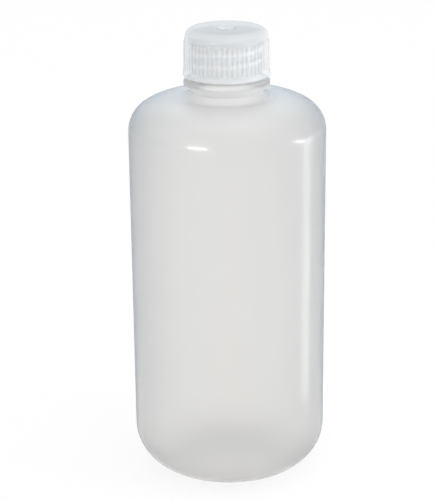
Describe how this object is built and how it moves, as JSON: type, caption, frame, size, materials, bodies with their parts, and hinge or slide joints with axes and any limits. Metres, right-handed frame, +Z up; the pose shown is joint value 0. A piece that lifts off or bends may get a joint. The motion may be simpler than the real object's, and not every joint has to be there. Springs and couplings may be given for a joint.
{
  "type": "reagent bottle",
  "caption": "Translucent narrow-mouth plastic reagent bottle with a domed shoulder, a beaded neck and a ribbed screw cap that climbs its thread as it turns.",
  "frame": {"origin": "centre of the standing ring, on the surface that the bottle stands on", "axes": "+Z up along the bottle's axis, +X to the right and -Y to the front of the picture"},
  "size_m": [0.073, 0.073, 0.1711],
  "materials": {
    "natural_polyethylene": "translucent, satin",
    "natural_polypropylene": "translucent, glossy",
    "liner_foam": "matt"
  },
  "bodies": {
    "bottle": {"bottle": "natural_polyethylene"},
    "liner": {"cap_liner": "liner_foam"},
    "cap": {"screw_cap": "natural_polypropylene"}
  },
  "joints": [
    {"name": "cap_rise", "type": "slide", "parent": "bottle", "child": "liner", "axis": [0, 0, 1], "range_m": [0, 0.01694]},
    {"name": "cap_turn", "type": "hinge", "parent": "liner", "child": "cap", "pos_m": [0, 0, 0.1624], "axis": [0, 0, 1], "range_deg": [0, 1440]}
  ],
  "couplings": [
    {"joint": "cap_rise", "follows": "cap_turn", "m_per_rad": 0.00067376}
  ]
}
